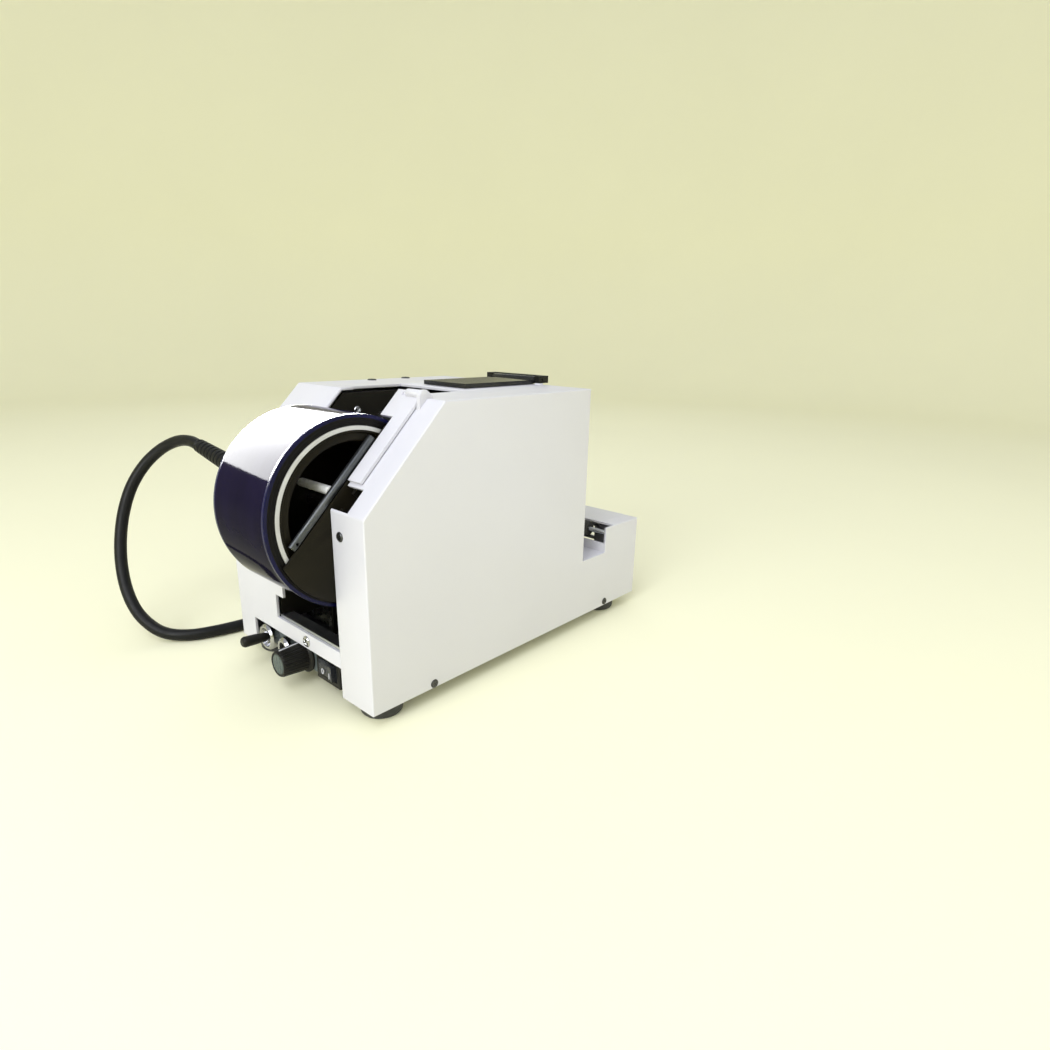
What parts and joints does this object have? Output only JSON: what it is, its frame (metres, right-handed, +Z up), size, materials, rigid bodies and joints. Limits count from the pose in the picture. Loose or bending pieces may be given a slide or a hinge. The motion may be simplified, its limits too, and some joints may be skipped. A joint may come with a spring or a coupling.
{
  "type": "bench-top edge taper",
  "caption": "Bench-top machine that feeds tape from a roll in its slanted front, cuts it and wraps it over the edge of a packet pushed into the slot at the back.",
  "frame": {"origin": "centre of the footprint of the machine without its mains lead, on the surface that the feet stand on", "axes": "+X from the slanted front towards the back, +Y from the near side cover to the far one, +Z up"},
  "size_m": [0.2662, 0.2564, 0.159],
  "materials": {
    "painted_white": "fine satin powder coat",
    "zinc_plate": "zinc-plated sheet",
    "black_paint": "matt black paint",
    "keeper_black": "semi-matt black paint",
    "bright_steel": "ground steel",
    "blade_steel": "ground edge",
    "white_rod": "gloss",
    "tape_film": "glossy film",
    "core_card": "smooth pale core",
    "panel_grey": "satin grey",
    "moulded_black": "moulded",
    "chrome_ring": "plated",
    "roller_rubber": "ground rubber",
    "roller_silicone": "silicone",
    "roller_nylon": "natural nylon",
    "bronze": "sintered bronze",
    "motor_can": "plated can",
    "board_green": "solder mask",
    "hinge_black": "moulded",
    "smoked_acrylic": "smoked, polished",
    "screw_dark": "blackened",
    "foot_rubber": "moulded rubber",
    "cord_pvc": "soft PVC"
  },
  "bodies": {
    "frame": {"near_cover": "painted_white", "far_cover": "painted_white", "top_cover": "painted_white", "rear_wall": "painted_white", "slot_tray": "painted_white", "rear_cover": "painted_white", "gate_hinge": "painted_white", "base_plate": "zinc_plate", "front_rail": "zinc_plate", "partition_wall": "black_paint", "near_frame_plate": "black_paint", "cutter_solenoid": "black_paint", "roll_keeper": "keeper_black", "frame_spacers": "bright_steel", "roll_axle": "bright_steel", "keeper_bar": "bright_steel", "roller_shafts": "bright_steel", "blade_guides": "bright_steel", "lower_anvil": "bright_steel", "drag_spring": "bright_steel", "pinch_spring": "bright_steel", "keeper_stud": "white_rod", "tape_web": "tape_film", "control_panel": "panel_grey", "switch_housing": "moulded_black", "dial_pot": "moulded_black", "trigger_switch": "moulded_black", "jack_ring": "chrome_ring", "lever_bush": "chrome_ring", "bearing_bushes": "bronze", "drive_motor": "motor_can", "power_supply": "motor_can", "control_board": "board_green", "lid_hinge_bar": "hinge_black", "cover_screws": "screw_dark", "feet": "foot_rubber", "strain_relief": "cord_pvc", "power_cord": "cord_pvc", "cord_coil": "cord_pvc", "cord_plug": "cord_pvc"},
    "spool": {"spool_drum": "keeper_black", "tape_core": "core_card", "tape_roll": "tape_film"},
    "roll_gate": {"roll_gate": "painted_white"},
    "guide_roller": {"guide_roller": "roller_nylon"},
    "feed": {"feed_roller": "roller_rubber", "feed_shaft": "bright_steel", "feed_gear": "roller_nylon"},
    "motor_pinion": {"motor_pinion": "bronze"},
    "pinch_arm": {"pinch_arm": "bright_steel"},
    "pinch_roller": {"pinch_roller": "roller_silicone"},
    "cutter": {"cutter_plunger": "bright_steel", "cutter_blade": "blade_steel"},
    "front_wiper": {"front_wiper_roller": "roller_rubber"},
    "rear_wiper": {"rear_wiper_roller": "roller_rubber"},
    "trigger_lever": {"trigger_lever": "bright_steel"},
    "rocker": {"rocker_switch": "moulded_black"},
    "speed_knob": {"speed_knob": "moulded_black"},
    "lever_switch": {"lever_switch": "moulded_black"},
    "smoked_lid": {"smoked_lid": "smoked_acrylic"}
  },
  "joints": [
    {"name": "spool_spin", "type": "hinge", "parent": "frame", "child": "spool", "pos_m": [-0.0806, -0.013, 0.1006], "axis": [0, 1, 0], "continuous": true},
    {"name": "gate_lift", "type": "hinge", "parent": "frame", "child": "roll_gate", "pos_m": [-0.04967, -0.045, 0.15567], "axis": [0, 1, 0], "range_deg": [0, 28]},
    {"name": "guide_spin", "type": "hinge", "parent": "frame", "child": "guide_roller", "pos_m": [-0.0062, -0.013, 0.0577], "axis": [0, 1, 0], "continuous": true},
    {"name": "feed_spin", "type": "hinge", "parent": "frame", "child": "feed", "pos_m": [0.0218, -0.013, 0.0535], "axis": [0, 1, 0], "continuous": true},
    {"name": "motor_spin", "type": "hinge", "parent": "frame", "child": "motor_pinion", "pos_m": [0.04348, 0.027, 0.0535], "axis": [0, 1, 0], "continuous": true},
    {"name": "pinch_lift", "type": "hinge", "parent": "frame", "child": "pinch_arm", "pos_m": [0.0038, -0.013, 0.084], "axis": [0, -1, 0], "range_deg": [0, 20], "stiffness_Nm_per_rad": 0.08, "springref_deg": -34.38},
    {"name": "pinch_spin", "type": "hinge", "parent": "pinch_arm", "child": "pinch_roller", "pos_m": [0.0218, -0.013, 0.0708], "axis": [0, 1, 0], "continuous": true},
    {"name": "cutter_drop", "type": "slide", "parent": "frame", "child": "cutter", "axis": [0, 0, 1], "range_m": [-0.006, 0], "stiffness_N_per_m": 220, "springref_m": 0.004},
    {"name": "front_wiper_spin", "type": "hinge", "parent": "frame", "child": "front_wiper", "pos_m": [0.0612, -0.013, 0.055], "axis": [0, 1, 0], "continuous": true},
    {"name": "rear_wiper_spin", "type": "hinge", "parent": "frame", "child": "rear_wiper", "pos_m": [0.0933, 0, 0.0585], "axis": [0, 1, 0], "continuous": true},
    {"name": "trigger_swing", "type": "hinge", "parent": "frame", "child": "trigger_lever", "pos_m": [0.0588, -0.055, 0.041], "axis": [0, 1, 0], "range_deg": [-22, 0], "stiffness_Nm_per_rad": 0.004, "springref_deg": 28.65},
    {"name": "rocker_press", "type": "hinge", "parent": "frame", "child": "rocker", "pos_m": [-0.0882, -0.0215, 0.015], "axis": [0, 0, 1], "range_deg": [0, 12]},
    {"name": "knob_turn", "type": "hinge", "parent": "frame", "child": "speed_knob", "pos_m": [-0.1002, 0.0015, 0.0156], "axis": [-1, 0, 0], "range_deg": [0, 270]},
    {"name": "lever_throw", "type": "hinge", "parent": "frame", "child": "lever_switch", "pos_m": [-0.0902, 0.036, 0.0155], "axis": [0, 0, 1], "range_deg": [-11, 11]},
    {"name": "lid_open", "type": "hinge", "parent": "frame", "child": "smoked_lid", "pos_m": [0.0638, -0.005, 0.1564], "axis": [0, 1, 0], "range_deg": [0, 100]}
  ],
  "couplings": [
    {"joint": "motor_spin", "follows": "feed_spin", "ratio": -2.8571},
    {"joint": "pinch_spin", "follows": "feed_spin", "ratio": -1.6452}
  ]
}
